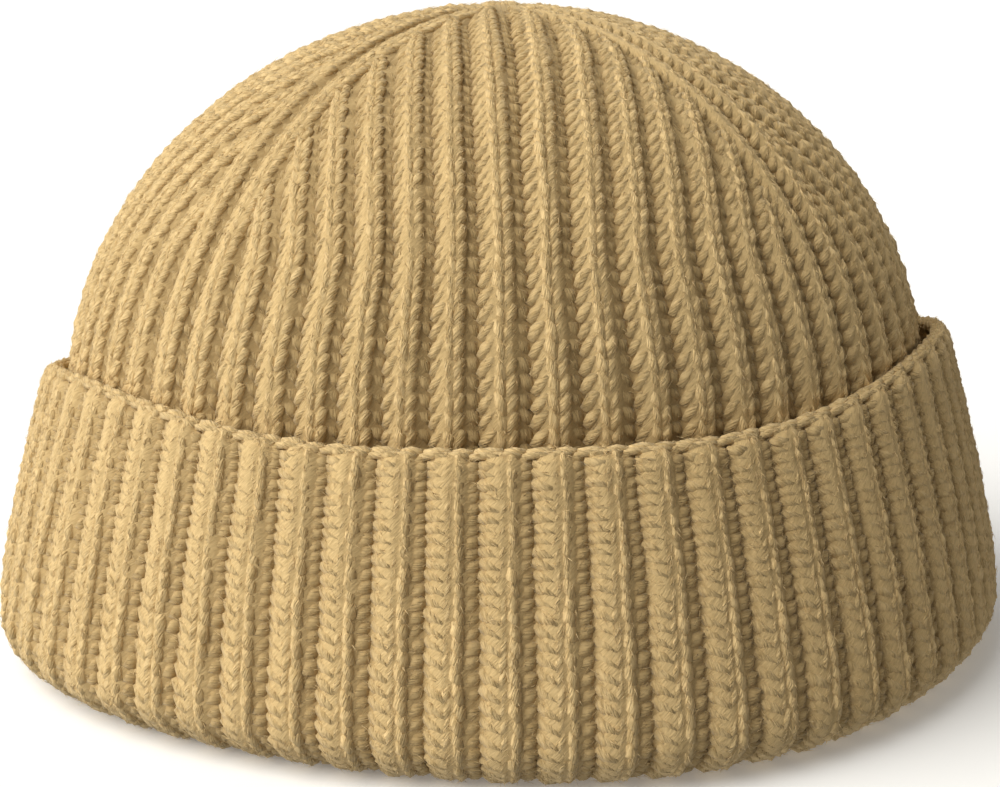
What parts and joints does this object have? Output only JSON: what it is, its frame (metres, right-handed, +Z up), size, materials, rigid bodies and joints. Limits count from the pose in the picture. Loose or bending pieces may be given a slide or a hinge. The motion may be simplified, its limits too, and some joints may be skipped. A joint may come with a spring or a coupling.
{
  "type": "knit hat",
  "caption": "Chunky rib-knit watch cap in camel wool: a domed crown with gathered gores and a deep turned-up cuff, hollow and open below.",
  "frame": {"origin": "centre of the footprint, on the flat surface that the folded edge of the cuff rests on", "axes": "+Z up through the top of the crown; -Y the side that the picture shows; +X to that side's right"},
  "size_m": [0.2028, 0.2096, 0.1253],
  "materials": {
    "wool": "matt, softly fuzzy plied wool yarn, camel tan"
  },
  "bodies": {
    "root": {"crown": "wool", "cuff": "wool"}
  },
  "joints": []
}
